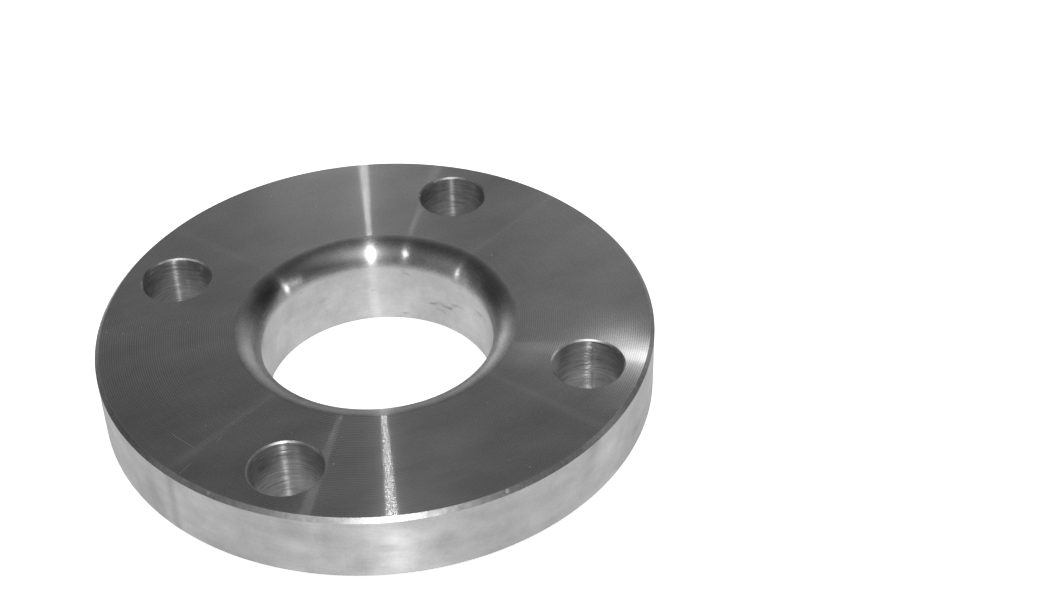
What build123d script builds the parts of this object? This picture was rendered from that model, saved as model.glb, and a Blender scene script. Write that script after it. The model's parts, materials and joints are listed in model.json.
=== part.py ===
from build123d import *
import os

# Lap joint flange: a loose bolting ring that slides over a pipe's flared stub end.
# It lies on the end of its hub. Z = 0 is the hub's end, and +Z points out of the lap
# face, where the flared lap seats.

# Driving dimensions, in millimetres and degrees
outer_diameter = 151.6
plate_thickness = 19.6
hub_diameter = 77.8
hub_height = 5.9  # how far the hub stands out of the plate's back
bore_diameter = 63.6
lap_radius = 6.8
hub_root_radius = 3.0
face_rim_chamfer = 1.1
back_rim_chamfer = 0.3
hub_end_chamfer = 0.8
bore_end_chamfer = 0.5
bolt_edge_distance = 15.475  # from each bolt hole's axis to the rim
bolt_hole_diameter = 19.05
bolt_hole_count = 4
bolt_hole_chamfer = 0.45
first_bolt_angle = 45.0

# Worked out from the driving dimensions
outer_radius = outer_diameter / 2
hub_radius = hub_diameter / 2
bore_radius = bore_diameter / 2
face_height = hub_height + plate_thickness
bolt_circle_radius = outer_radius - bolt_edge_distance


def corner(section, radius, height):
    """The vertex of the half section that is nearest to that radius and height."""
    return section.vertices().sort_by_distance((radius, height))[0]


with BuildPart() as flange:
    # Half section of the turned ring: the bolting plate, with a short hub behind it
    with BuildSketch(Plane.XZ) as half_section:
        with BuildLine():
            Polyline(
                (bore_radius, 0),
                (hub_radius, 0),
                (hub_radius, hub_height),
                (outer_radius, hub_height),
                (outer_radius, face_height),
                (bore_radius, face_height),
                close=True,
            )
        make_face()
        # The lap radius clears the fillet behind the stub end's flared lap
        fillet(corner(half_section, bore_radius, face_height), lap_radius)
        fillet(corner(half_section, hub_radius, hub_height), hub_root_radius)
        chamfer(corner(half_section, outer_radius, face_height), face_rim_chamfer)
        chamfer(corner(half_section, outer_radius, hub_height), back_rim_chamfer)
        chamfer(corner(half_section, hub_radius, 0), hub_end_chamfer)
        chamfer(corner(half_section, bore_radius, 0), bore_end_chamfer)
    revolve(axis=Axis.Z)

    # Drilled bolt holes, straddling the X and Y axes, broken at both mouths
    with Locations((0, 0, face_height)):
        with PolarLocations(bolt_circle_radius, bolt_hole_count, first_bolt_angle):
            Hole(bolt_hole_diameter / 2)
    chamfer(flange.edges(Select.LAST).filter_by(GeomType.CIRCLE), bolt_hole_chamfer)

flange.part.label = "flange"

os.makedirs("parts", exist_ok=True)
export_step(flange.part, "parts/flange.step")
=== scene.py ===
import json
import math

import bmesh
import bpy
from mathutils import Matrix, Vector


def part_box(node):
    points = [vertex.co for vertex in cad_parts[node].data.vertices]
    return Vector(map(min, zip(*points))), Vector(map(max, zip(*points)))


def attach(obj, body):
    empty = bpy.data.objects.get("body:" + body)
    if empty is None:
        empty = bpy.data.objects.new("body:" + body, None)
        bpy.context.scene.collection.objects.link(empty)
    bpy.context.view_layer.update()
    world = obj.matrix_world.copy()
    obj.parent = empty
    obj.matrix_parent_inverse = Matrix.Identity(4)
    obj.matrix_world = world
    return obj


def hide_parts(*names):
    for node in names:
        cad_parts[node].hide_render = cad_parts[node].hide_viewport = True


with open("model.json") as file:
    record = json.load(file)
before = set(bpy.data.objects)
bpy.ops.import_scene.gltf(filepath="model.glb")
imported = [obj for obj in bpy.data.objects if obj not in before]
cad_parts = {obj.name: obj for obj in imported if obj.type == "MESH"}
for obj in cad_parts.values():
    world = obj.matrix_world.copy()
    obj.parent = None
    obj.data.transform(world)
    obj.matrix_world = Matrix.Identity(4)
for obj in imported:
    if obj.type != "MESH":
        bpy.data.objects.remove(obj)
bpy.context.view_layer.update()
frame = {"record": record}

# Sizes that the frame states, in metres
MM = 0.001
mounts = {mount["name"]: mount for mount in frame["record"]["mounts"]}
outer_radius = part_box("flange")[1].x
face_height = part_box("flange")[1].z
plate_back = mounts["nut_face"]["pos_m"][2]
bore_radius = mounts["bore"]["dims"]["r_mm"] * MM
bore_middle = mounts["bore"]["pos_m"][2]
bore_wall = mounts["bore"]["dims"]["length_mm"] * MM
bore_top = bore_middle + bore_wall / 2
bore_end_chamfer = bore_middle - bore_wall / 2
lap_radius = face_height - bore_top
bolt_circle_radius = mounts["bolts"]["dims"]["pcd_mm"] * MM / 2
bolt_hole_radius = mounts["bolts"]["dims"]["hole_r_mm"] * MM
bolt_hole_count = mounts["bolts"]["dims"]["count"]

# The other sizes of the ring, in metres and degrees
hub_radius = 38.9 * MM
hub_root_radius = 3.0 * MM
hub_end_chamfer = 0.8 * MM
face_rim_chamfer = 1.1 * MM
back_rim_chamfer = 0.3 * MM
bolt_hole_chamfer = 0.45 * MM
first_bolt_angle = 45.0

# Tool marks: the feed of the facing tool, and the rings that the drill leaves
groove_pitch = 0.6 * MM
groove_depth = 0.014 * MM
drill_ring_pitch = 0.6 * MM
drill_ring_depth = 0.03 * MM

# The lap face, and how many whole grooves fill it
face_inner_radius = bore_radius + lap_radius
face_outer_radius = outer_radius - face_rim_chamfer
grooves = round((face_outer_radius - face_inner_radius) / groove_pitch)
groove_width = (face_outer_radius - face_inner_radius) / grooves

# Handling scratches on the lap face: middle in mm, direction in degrees, length in mm
scratches = (
    (-62.1, -21.4, -66, 9.6),
    (-53.7, -25.0, 44, 3.9),
    (-64.8, -31.2, 32, 5.4),
)

# A dark mark on the rim: its place along X and Y and its size, in mm
rim_mark = (-69.2, -30.9, 2.6)

# How finely the round forms are cut into faces
spin_steps = 256
groove_steps = 4
lap_steps = 24
hub_root_steps = 8
hole_sides = 96

# Points closer than this are at the same place
tight = 0.01 * MM

# Faces that meet at less than this angle, in degrees, are shaded as one round surface
smooth_angle = 16.0

# How light each finish is, as the steel's reflectance
face_level = 0.435
bore_level = 0.58
lap_level = 0.45
rim_level = 0.58
edge_level = 0.4
drilled_level = 0.44


def select_where(piece, kind, test):
    """In edit mode, selects only the vertices, edges or faces that pass the test."""
    mesh = bmesh.from_edit_mesh(piece.data)
    for element in (*mesh.verts, *mesh.edges, *mesh.faces):
        element.select = False
    for element in getattr(mesh, kind):
        if test(element):
            element.select_set(True)
    bmesh.update_edit_mesh(piece.data)


def edge_middle(edge):
    return (edge.verts[0].co + edge.verts[1].co) / 2


def round_corner(piece, radius, height, size, steps):
    """Cuts a section's corner back by size: one step is a chamfer, more are a round."""
    corner = Vector((radius, 0, height))
    select_where(piece, "verts", lambda v: (v.co - corner).length < tight)
    bpy.ops.mesh.bevel(offset=size, segments=steps, profile=0.5, affect="VERTICES")


def plate_section():
    """The half section of the plate and its hub, as one thin face in the XZ plane."""
    bpy.ops.mesh.primitive_plane_add(
        size=1,
        location=((bore_radius + outer_radius) / 2, 0, (plate_back + face_height) / 2),
        rotation=(math.pi / 2, 0, 0),
    )
    piece = bpy.context.object
    piece.scale = (outer_radius - bore_radius, face_height - plate_back, 1)
    bpy.ops.object.transform_apply(location=True, rotation=True, scale=True)
    bpy.ops.object.mode_set(mode="EDIT")
    bpy.ops.mesh.select_mode(type="EDGE")
    bpy.ops.mesh.select_all(action="SELECT")
    bpy.ops.mesh.bisect(plane_co=(hub_radius, 0, 0), plane_no=(1, 0, 0))
    hub_edge = Vector(((bore_radius + hub_radius) / 2, 0, plate_back))
    select_where(piece, "edges", lambda e: (edge_middle(e) - hub_edge).length < tight)
    bpy.ops.mesh.extrude_region_move(TRANSFORM_OT_translate={"value": (0, 0, -plate_back)})
    bpy.ops.mesh.select_all(action="SELECT")
    bpy.ops.mesh.dissolve_limited(angle_limit=math.radians(1))
    bpy.ops.mesh.select_mode(type="VERT")
    round_corner(piece, bore_radius, face_height, lap_radius, lap_steps)
    round_corner(piece, hub_radius, plate_back, hub_root_radius, hub_root_steps)
    round_corner(piece, outer_radius, face_height, face_rim_chamfer, 1)
    round_corner(piece, outer_radius, plate_back, back_rim_chamfer, 1)
    round_corner(piece, hub_radius, 0, hub_end_chamfer, 1)
    round_corner(piece, bore_radius, 0, bore_end_chamfer, 1)
    return piece


def groove_face(piece):
    """Cuts the facing tool's round-nosed grooves into the section's lap face."""
    inner = face_inner_radius
    middle = Vector(((inner + face_outer_radius) / 2, 0, face_height))
    select_where(piece, "edges", lambda e: (edge_middle(e) - middle).length < tight)
    steps = grooves * groove_steps
    bpy.ops.mesh.subdivide(number_cuts=steps - 1)
    step = groove_width / groove_steps
    for place in range(1, groove_steps):
        share = place / groove_steps
        cut = groove_depth * 4 * share * (1 - share)

        def in_groove(vertex):
            count = round((vertex.co.x - inner) / step)
            on_face = abs(vertex.co.z - face_height) < tight / 10
            return on_face and 0 < count < steps and count % groove_steps == place

        select_where(piece, "verts", in_groove)
        bpy.ops.transform.translate(value=(0, 0, -cut))


def turned_ring():
    """The ring as it leaves the lathe: its half section, spun round the bore's axis."""
    piece = plate_section()
    groove_face(piece)
    bpy.ops.mesh.select_mode(type="EDGE")
    bpy.ops.mesh.select_all(action="SELECT")
    bpy.ops.mesh.delete(type="ONLY_FACE")
    bpy.ops.mesh.select_all(action="SELECT")
    bpy.ops.mesh.spin(
        steps=spin_steps, angle=2 * math.pi, center=(0, 0, 0), axis=(0, 0, 1)
    )
    bpy.ops.mesh.select_all(action="SELECT")
    bpy.ops.mesh.remove_doubles(threshold=tight / 10)
    bpy.ops.mesh.normals_make_consistent(inside=False)
    bpy.ops.object.mode_set(mode="OBJECT")
    piece.name = "turned_ring"
    return piece


def drill_profile():
    """A bolt hole's radius at each height: flared mouths, with uneven ring marks between."""
    overrun = 0.5 * MM
    mouth_radius = bolt_hole_radius + bolt_hole_chamfer + overrun
    low = plate_back + bolt_hole_chamfer
    high = face_height - bolt_hole_chamfer
    steps = 2 * round((high - low) / drill_ring_pitch)
    profile = [(plate_back - overrun, mouth_radius), (low, bolt_hole_radius)]
    for step in range(1, steps):
        strength = 0.55 + 0.45 * math.sin(2.4 * step) * math.sin(0.7 * step + 1)
        ring = drill_ring_depth * strength * (step % 2)
        profile.append((low + (high - low) * step / steps, bolt_hole_radius + ring))
    profile += [(high, bolt_hole_radius), (face_height + overrun, mouth_radius)]
    return profile


def bolt_centre(number):
    """The axis of that bolt hole, at height 0."""
    angle = math.radians(first_bolt_angle + number * 360 / bolt_hole_count)
    return Matrix.Rotation(angle, 3, "Z") @ Vector((bolt_circle_radius, 0, 0))


def drill(centre):
    """A solid with the form of the bolt hole on that axis."""
    profile = drill_profile()
    height, radius = profile[0]
    bpy.ops.mesh.primitive_circle_add(
        vertices=hole_sides,
        radius=radius,
        fill_type="NGON",
        location=(centre.x, centre.y, height),
    )
    piece = bpy.context.object
    bpy.ops.object.transform_apply(location=True, rotation=True, scale=True)
    bpy.ops.object.mode_set(mode="EDIT")
    bpy.ops.mesh.select_all(action="SELECT")
    for next_height, next_radius in profile[1:]:
        rise = next_height - height
        bpy.ops.mesh.extrude_region_move(TRANSFORM_OT_translate={"value": (0, 0, rise)})
        growth = next_radius / radius
        bpy.ops.transform.resize(
            value=(growth, growth, 1), center_override=(centre.x, centre.y, next_height)
        )
        height, radius = next_height, next_radius
    bpy.ops.mesh.select_all(action="SELECT")
    bpy.ops.mesh.normals_make_consistent(inside=False)
    bpy.ops.object.mode_set(mode="OBJECT")
    return piece


def drill_holes(ring):
    """Cuts the bolt holes through the ring."""
    for number in range(bolt_hole_count):
        bit = drill(bolt_centre(number))
        cut = ring.modifiers.new("bolt_hole", "BOOLEAN")
        cut.operation = "DIFFERENCE"
        cut.solver = "EXACT"
        cut.object = bit
        bpy.context.view_layer.objects.active = ring
        bpy.ops.object.modifier_apply(modifier=cut.name)
        bpy.data.objects.remove(bit)


class Wire:
    """A value in a shader. An expression on wires and numbers adds its Math nodes."""

    def __init__(self, tree, socket=None):
        self.tree = tree
        self.socket = socket

    def node(self, kind, settings=None, inputs=None, output=0):
        """Adds a node of that type: first its settings, then its sockets' values or links."""
        made = self.tree.nodes.new("ShaderNode" + kind)
        for name, value in (settings or {}).items():
            setattr(made, name, value)
        for name, value in (inputs or {}).items():
            if isinstance(value, Wire):
                self.tree.links.new(value.socket, made.inputs[name])
            else:
                made.inputs[name].default_value = value
        return Wire(self.tree, made.outputs[output])

    def sibling(self, output):
        """Another output of the same node."""
        return Wire(self.tree, self.socket.node.outputs[output])

    def math(self, operation, *values):
        return self.node("Math", {"operation": operation}, dict(enumerate(values)))

    def __add__(self, other):
        return self.math("ADD", self, other)

    def __radd__(self, other):
        return self.math("ADD", other, self)

    def __sub__(self, other):
        return self.math("SUBTRACT", self, other)

    def __rsub__(self, other):
        return self.math("SUBTRACT", other, self)

    def __mul__(self, other):
        return self.math("MULTIPLY", self, other)

    def __rmul__(self, other):
        return self.math("MULTIPLY", other, self)

    def __truediv__(self, other):
        return self.math("DIVIDE", self, other)

    def __pow__(self, other):
        return self.math("POWER", self, other)

    def __abs__(self):
        return self.math("ABSOLUTE", self)

    def exp(self):
        return self.math("EXPONENT", self)

    def wave(self, period):
        """A smooth wave between 0 and 1."""
        return 0.5 + 0.5 * self.math("SINE", self * (2 * math.pi / period))

    def band(self, low, high):
        """0 up to low, 1 from high on, and a smooth step between."""
        settings = {"interpolation_type": "SMOOTHSTEP"}
        inputs = {"Value": self, "From Min": low, "From Max": high}
        return self.node("MapRange", settings, inputs)


class Finish:
    """A finish in the making, with the coordinates that a turned surface needs."""

    def __init__(self, name):
        self.material = bpy.data.materials.new(name)
        self.material.use_nodes = True
        tree = self.material.node_tree
        tree.nodes.remove(tree.nodes["Principled BSDF"])
        self.root = Wire(tree)
        self.place = self.root.node("TexCoord", output="Object")
        self.x = self.root.node("SeparateXYZ", {}, {"Vector": self.place})
        self.y = self.x.sibling("Y")
        self.z = self.x.sibling("Z")
        self.radius = (self.x ** 2 + self.y ** 2) ** 0.5

    def vector(self, x, y, z):
        return self.root.node("CombineXYZ", {}, {"X": x, "Y": y, "Z": z})

    def grey(self, level):
        """A neutral colour of that level."""
        return self.vector(level, level, level)

    def noise(self, where, scale, detail=2.0, roughness=0.5):
        """Smooth noise round 0, mostly between -0.3 and 0.3, with scale spots to a unit of where."""
        inputs = {"Vector": where, "Scale": scale, "Detail": detail, "Roughness": roughness}
        return self.root.node("TexNoise", {}, inputs) - 0.5

    def along_rings(self, scale, squeeze):
        """Noise that runs round the axis, on faces and walls alike."""
        where = self.vector(
            self.x / self.radius, self.y / self.radius, (self.radius + self.z) * squeeze
        )
        return self.noise(where, scale)

    def specks(self, scale, rarity):
        """1 on small scattered spots, 0 elsewhere."""
        return self.noise(self.place, scale, 0.0).band(rarity, rarity + 0.05)

    def scratch(self, x, y, direction, length):
        """1 along one scratch on the lap face, 0 elsewhere. A fifth of it fades at each end."""
        cos, sin = math.cos(math.radians(direction)), math.sin(math.radians(direction))
        wander = 0.3 * MM * self.noise(self.place, 300.0)
        dx, dy = self.x - x * MM, self.y - y * MM
        along = abs(dx * cos + dy * sin)
        across = abs(dy * cos - dx * sin + wander)
        ends = 1 - along.band(length * 0.3 * MM, length * 0.5 * MM)
        return ends * (1 - across.band(0.04 * MM, 0.16 * MM))

    def spot(self, x, y, size):
        """1 at that place in mm, and 0 from size mm away."""
        distance = ((self.x - x * MM) ** 2 + (self.y - y * MM) ** 2) ** 0.5
        return 1 - distance.band(0, size * MM)

    def bump(self, height, distance):
        """A normal for a surface that stands that far out where height is 1."""
        return self.root.node("Bump", {}, {"Height": height, "Distance": distance})

    def gloss(self, colour, roughness, stretch, normal=None):
        """Bare metal whose highlights stretch across the tool marks."""
        quarter_turn = 0.25
        inputs = {
            "Base Color": colour,
            "Metallic": 1.0,
            "Roughness": roughness,
            "Anisotropic": stretch,
            "Anisotropic Rotation": quarter_turn,
        }
        if normal:
            inputs["Normal"] = normal
        return self.root.node("BsdfPrincipled", {}, inputs)

    def streak(self, colour, along, across, normal=None):
        """The line that fine parallel tool marks draw across themselves when lit.

        How much it spreads along the marks and across them is given as GGX alphas.
        """
        roughness = (along * across) ** 0.25
        stretch = 1 - (along / across) ** 0.5
        inputs = {"Color": colour, "Roughness": roughness, "Anisotropy": stretch}
        if normal:
            inputs["Normal"] = normal
        return self.root.node("BsdfAnisotropic", {"distribution": "GGX"}, inputs)

    def mix(self, share, first, second):
        """The first surface, with that share of the second."""
        return self.root.node("MixShader", {}, {0: share, 1: first, 2: second})

    def done(self, surface):
        tree = self.root.tree
        tree.links.new(surface.socket, tree.nodes["Material Output"].inputs["Surface"])
        return self.material


def faced_steel(name, marks):
    """A faced surface: rings from the facing tool, scratches, and a thin streak across the rings.

    Towards +X and +Y the rings are fainter, and the steel is painted paler there: a painted sheen
    for the light that falls brighter on that side.
    """
    steel = Finish(name)
    ridges = 1 - (steel.radius - face_inner_radius).wave(groove_width)
    feed = steel.along_rings(1.2, 700.0)
    drift = steel.noise(steel.place, 45.0)
    grain = steel.noise(steel.place, 2400.0, 1.0)
    clusters = steel.noise(steel.place, 50.0, 0.0).band(0.0, 0.15)
    specks = steel.specks(1100.0, 0.3) * clusters
    # Painted sheen: a mask that rises towards +X and +Y, where the steel is painted paler and its
    # rings fainter
    tone_shift = (steel.y + 0.6 * steel.x).band(-30 * MM, 50 * MM)
    smears = steel.noise(steel.vector(steel.x, steel.y * 2, steel.z), 60.0, 3.0)
    ringing = (0.8 - 0.6 * tone_shift) * (0.5 + drift) * (ridges - 0.5)
    pale = 0.35 * specks
    for mark in marks:
        pale = pale + 0.32 * steel.scratch(*mark)
    # The term with the +X and +Y mask paints the paler, lit side of the face
    tone = 1 + ringing + 0.12 * feed + 0.3 * grain + 0.2 * drift + 0.45 * smears + 0.09 * tone_shift
    colour = steel.grey(face_level * tone + pale)
    normal = steel.bump(grain, 0.004 * MM)
    broad = steel.gloss(colour, 0.38 + 0.1 * grain, 0.5, normal)
    middle = steel.streak(colour, 0.04, 0.7)
    thin = steel.streak(colour, 0.005, 0.7)
    beads = 0.15 + 0.08 * feed + 0.8 * grain
    return steel.done(steel.mix(beads, steel.mix(0.07, broad, middle), thin))


def bored_steel():
    """The bore's satin wall and, above it, the polished lap radius."""
    steel = Finish("bored_steel")
    polish = steel.z.band(bore_top - 0.8 * MM, bore_top + 1.4 * MM)
    smudges = steel.noise(steel.place, 110.0, 4.0, 0.6)
    stains = steel.noise(steel.vector(steel.x, steel.y, steel.z * 3), 130.0, 2.0).band(0.12, 0.3)
    grain = steel.noise(steel.place, 1500.0, 1.0)
    rings = steel.along_rings(2.0, 900.0)
    dents = steel.noise(steel.place, 420.0, 1.0)
    tone = 1 + 0.8 * smudges - 0.6 * stains * (1 - polish) + 0.16 * grain + 0.14 * rings
    colour = steel.grey((bore_level + (lap_level - bore_level) * polish) * tone)
    normal = steel.bump(dents + 0.6 * grain, 0.010 * MM)
    broad = steel.gloss(colour, 0.32 + 0.08 * smudges, 0.6, normal)
    shine = steel.streak(colour, 0.01, 0.15, normal)
    satin = steel.mix(polish, broad, shine)
    wide = steel.gloss(colour, 0.36, 0.9)
    thin = steel.streak(colour, 0.02, 0.3)
    beads = (0.24 + 0.12 * polish) * (1 + 1.5 * rings + 2 * grain)
    return steel.done(steel.mix(beads, steel.mix(0.35, satin, wide), thin))


def rim_steel():
    """A turned outside: satin, smudged by handling, with a soft streak across it."""
    steel = Finish("rim_steel")
    smudges = steel.noise(steel.place, 75.0, 4.0, 0.6)
    stains = steel.noise(steel.place, 55.0, 1.0).band(0.08, 0.22)
    wiped = steel.noise(steel.vector(steel.x, steel.y, steel.z * 2), 95.0, 3.0)
    grain = steel.noise(steel.place, 1500.0, 1.0)
    rings = steel.along_rings(2.0, 1100.0)
    tone = 1 + 0.7 * smudges - 0.2 * stains + 0.6 * wiped + 0.2 * grain + 0.12 * rings
    tone = tone - 0.4 * (0.5 + wiped) * steel.spot(*rim_mark)
    colour = steel.grey(rim_level * tone)
    normal = steel.bump(rings, 0.003 * MM)
    broad = steel.gloss(colour, 0.46 + 0.2 * smudges, 0.74, normal)
    soft = steel.streak(colour, 0.07, 0.9)
    return steel.done(steel.mix(0.21 + 0.4 * wiped, broad, soft))


def edge_steel():
    """A broken edge: uneven and nicked, with painted shade that darkens it at the ring's far left
    and right.
    """
    steel = Finish("edge_steel")
    uneven = steel.noise(steel.place, 900.0, 2.0)
    waves = steel.noise(steel.place, 160.0, 1.0)
    nicks = steel.specks(700.0, 0.26)
    # Painted shade: the edge is darkened where it lies far to the left and right of the axis
    painted_dark_sides = abs(steel.x).band(54 * MM, 74 * MM)
    tone = (1 + 0.7 * uneven + 0.3 * waves) * (1 - 0.45 * painted_dark_sides)
    colour = steel.grey(edge_level * tone + 0.2 * nicks)
    normal = steel.bump(uneven + 1.5 * waves, 0.03 * MM)
    return steel.done(steel.gloss(colour, 0.45 + 0.2 * nicks, 0.6, normal))


def drilled_steel():
    """A bolt hole's wall, with the drill's uneven rings."""
    steel = Finish("drilled_steel")
    rings = steel.noise(steel.vector(steel.x * 0.7, steel.y * 0.7, steel.z * 9), 240.0, 3.0, 0.6)
    tone_shift = steel.noise(steel.place, 160.0, 3.0)
    grain = steel.noise(steel.place, 1500.0, 1.0)
    tone = 1 + 1.5 * rings + 1.0 * tone_shift + 0.3 * grain
    colour = steel.grey(drilled_level * tone)
    normal = steel.bump(rings + 0.5 * tone_shift, 0.14 * MM)
    broad = steel.gloss(colour, 0.4, 0.0, normal)
    soft = steel.streak(colour, 0.06, 0.8)
    return steel.done(steel.mix(0.32 + 1.0 * rings, broad, soft))


def zone_of(centre, normal):
    """Which finish a face of the ring has, by its place and by how level it lies.

    A flat face's level is 1, a wall's 0 and a chamfer's about 0.7.
    """
    radius = math.hypot(centre.x, centre.y)
    level = abs(normal.z)
    nearest = min(
        (centre - bolt_centre(number)).xy.length for number in range(bolt_hole_count)
    )
    if nearest < bolt_hole_radius + 2 * drill_ring_depth:
        return "drilled"
    if nearest < bolt_hole_radius + bolt_hole_chamfer and level < 0.9:
        return "edges"
    if radius < face_inner_radius and centre.z > bore_end_chamfer:
        return "bore"
    if centre.z > face_height - groove_depth - tight:
        return "face"
    if level > 0.95:
        return "back"
    if 0.6 < level < 0.8 and abs(radius - hub_radius) > hub_root_radius:
        return "edges"
    return "outside"


def give_finishes(ring):
    """Gives each face of the ring the finish of its place."""
    finishes = {
        "face": faced_steel("faced_steel", scratches),
        "bore": bored_steel(),
        "outside": rim_steel(),
        "edges": edge_steel(),
        "drilled": drilled_steel(),
        "back": faced_steel("back_steel", ()),
    }
    names = list(finishes)
    for material in finishes.values():
        ring.data.materials.append(material)
    for face in ring.data.polygons:
        face.material_index = names.index(zone_of(face.center, face.normal))


def make_flange():
    """The ring, turned, drilled and finished, in place of the CAD model's flange."""
    ring = turned_ring()
    drill_holes(ring)
    bpy.ops.object.select_all(action="DESELECT")
    ring.select_set(True)
    bpy.context.view_layer.objects.active = ring
    bpy.ops.object.shade_smooth_by_angle(angle=math.radians(smooth_angle))
    give_finishes(ring)
    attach(ring, "root")
    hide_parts("flange")


# The paper under the ring: its width in metres, its colour, how much light comes through it
# from below, and how much brighter the camera sees it
floor_size = 6
paper_white = (0.9, 0.9, 0.9, 1)
floor_glow = 0.2
floor_lift = 0.5


def make_floor():
    """White paper that is lit through a little from below, and overexposed in the camera."""
    bpy.ops.mesh.primitive_plane_add(size=floor_size)
    floor = bpy.context.object
    floor.name = "floor"
    paper = bpy.data.materials.new("paper")
    paper.use_nodes = True
    sheet = paper.node_tree.nodes["Principled BSDF"]
    sheet.inputs["Base Color"].default_value = paper_white
    sheet.inputs["Roughness"].default_value = 1.0
    sheet.inputs["Specular IOR Level"].default_value = 0.0
    sheet.inputs["Emission Strength"].default_value = 1.0
    seen = Wire(paper.node_tree).node("LightPath", output="Is Camera Ray")
    glow = floor_glow + floor_lift * seen
    paper.node_tree.links.new(glow.socket, sheet.inputs["Emission Color"])
    floor.data.materials.append(paper)


def towards(azimuth, elevation):
    """The unit vector of that direction, in degrees. Azimuth 0 is -Y and 90 is +X."""
    turn, rise = math.radians(azimuth), math.radians(elevation)
    return Vector((
        math.sin(turn) * math.cos(rise), -math.cos(turn) * math.cos(rise), math.sin(rise)
    ))


# Camera: distance and aim in metres, angles in degrees, lens and sensor in millimetres
camera_distance = 519.75 * MM
camera_azimuth = -19.93
camera_elevation = 41.52
camera_roll = -1.2
camera_aim = Vector((39.7 * MM, -11.1 * MM, face_height))
camera_lens = 63.17
camera_sensor = 36


def make_camera():
    lens = bpy.data.cameras.new("camera")
    lens.lens = camera_lens
    lens.sensor_width = camera_sensor
    camera = bpy.data.objects.new("camera", lens)
    bpy.context.scene.collection.objects.link(camera)
    camera.location = camera_distance * towards(camera_azimuth, camera_elevation)
    look = (camera_aim - camera.location).to_track_quat("-Z", "Y").to_matrix()
    look = look @ Matrix.Rotation(math.radians(camera_roll), 3, "Z")
    camera.rotation_euler = look.to_euler()
    bpy.context.scene.camera = camera


# Lamps that face the ring: azimuth and elevation in degrees, distance in metres, width and
# height in mm, and power in watts
lamps = {
    "flash": (-20.3, 43.2, 0.51, 27, 13, 1.05),
    "second_lamp": (-54, 40, 1.2, 65, 65, 0.7),
    "left_lamp": (-102, 11, 1.0, 55, 55, 0.32),
    "right_lamp": (63, 8, 1.0, 55, 55, 0.42),
}

# Lit cards beside the ring: place, width and height in mm, power in watts, the point that the
# card faces, and its lean in degrees
face_middle = Vector((0, 0, face_height))
lit_cards = {
    "back_box": (Vector((40, 125, 75)) * MM, 60, 70, 0.003, face_middle, 0),
    "side_box": (Vector((110, 60, 60)) * MM, 60, 60, 0.0012, face_middle, 0),
    "strip": (Vector((67, -26, 45)) * MM, 3, 46, 0.0033, Vector((30, -10, 25)) * MM, -51),
}

# Daylight on the paper: azimuth, elevation and spread in degrees, and strength
daylight = {
    "overhead_sky": (0, 90, 120, 1.4),
    "near_sky": (-20, 45, 40, 0.8),
}

# Soft glows round the room: azimuth, elevation and spread in degrees, and strength
room_glows = {
    "near": (-15, 45, 22, 1.3),
    "high_right": (40, 62, 22, 0.34),
    "high_left": (-130, 45, 35, 0.05),
    "left": (-90, 25, 25, 0.4),
    "front_left": (-45, 20, 22, 0.15),
    "front_right": (52, 5, 13, 0.4),
    "low_back_right": (135, 10, 18, 0.7),
    "back_right": (145, 32, 16, 0.35),
    "low_back": (178, 8, 16, 1.3),
}
room_level = 0.01
backdrop_level = 1.0


def area_light(name, place, width, height, power, aim, lean):
    """A lit rectangle that faces a point, turned by lean degrees. Only the steel mirrors it."""
    lamp = bpy.data.lights.new(name, "AREA")
    lamp.shape = "RECTANGLE"
    lamp.size, lamp.size_y = width * MM, height * MM
    lamp.energy = power
    light = bpy.data.objects.new(name, lamp)
    bpy.context.scene.collection.objects.link(light)
    light.location = place
    look = (aim - place).to_track_quat("-Z", "Y").to_matrix()
    light.rotation_euler = (look @ Matrix.Rotation(math.radians(lean), 3, "Z")).to_euler()
    light.visible_camera = False
    light.visible_diffuse = False


def sky_light(name, azimuth, elevation, spread, strength):
    """Soft daylight on the paper, from one direction. The steel doesn't mirror it."""
    lamp = bpy.data.lights.new(name, "SUN")
    lamp.energy = strength
    lamp.angle = math.radians(spread)
    light = bpy.data.objects.new(name, lamp)
    bpy.context.scene.collection.objects.link(light)
    light.rotation_euler = towards(azimuth, elevation).to_track_quat("Z", "Y").to_euler()
    light.visible_glossy = False


def make_lights():
    """The lamps and cards that the steel mirrors, and the daylight on the paper."""
    ring_foot = Vector((0, 0, 0))
    for name, (azimuth, elevation, distance, width, height, power) in lamps.items():
        place = distance * towards(azimuth, elevation)
        area_light(name, place, width, height, power, ring_foot, 0)
    for name, card in lit_cards.items():
        area_light(name, *card)
    for name, sky in daylight.items():
        sky_light(name, *sky)


def make_room():
    """The room that the steel mirrors. The camera sees a white backdrop in its place."""
    world = bpy.data.worlds.new("studio")
    world.use_nodes = True
    root = Wire(world.node_tree)
    direction = root.node("TexCoord", output="Generated")
    light = room_level
    for azimuth, elevation, spread, strength in room_glows.values():
        settings = {"operation": "DOT_PRODUCT"}
        middle = towards(azimuth, elevation)
        cosine = root.node("VectorMath", settings, {0: direction, 1: middle}, "Value")
        fall = 1 / (1 - math.cos(math.radians(spread)))
        light = light + strength * ((cosine - 1) * fall).exp()
    seen = root.node("LightPath", output="Is Camera Ray")
    level = seen * backdrop_level + (1 - seen) * light
    background = world.node_tree.nodes["Background"]
    background.inputs["Color"].default_value = (1, 1, 1, 1)
    world.node_tree.links.new(level.socket, background.inputs["Strength"])
    bpy.context.scene.world = world


bpy.ops.object.select_all(action="DESELECT")
make_flange()
make_floor()
make_camera()
make_lights()
make_room()
bpy.context.scene.view_settings.view_transform = "Standard"

bpy.context.view_layer.update()
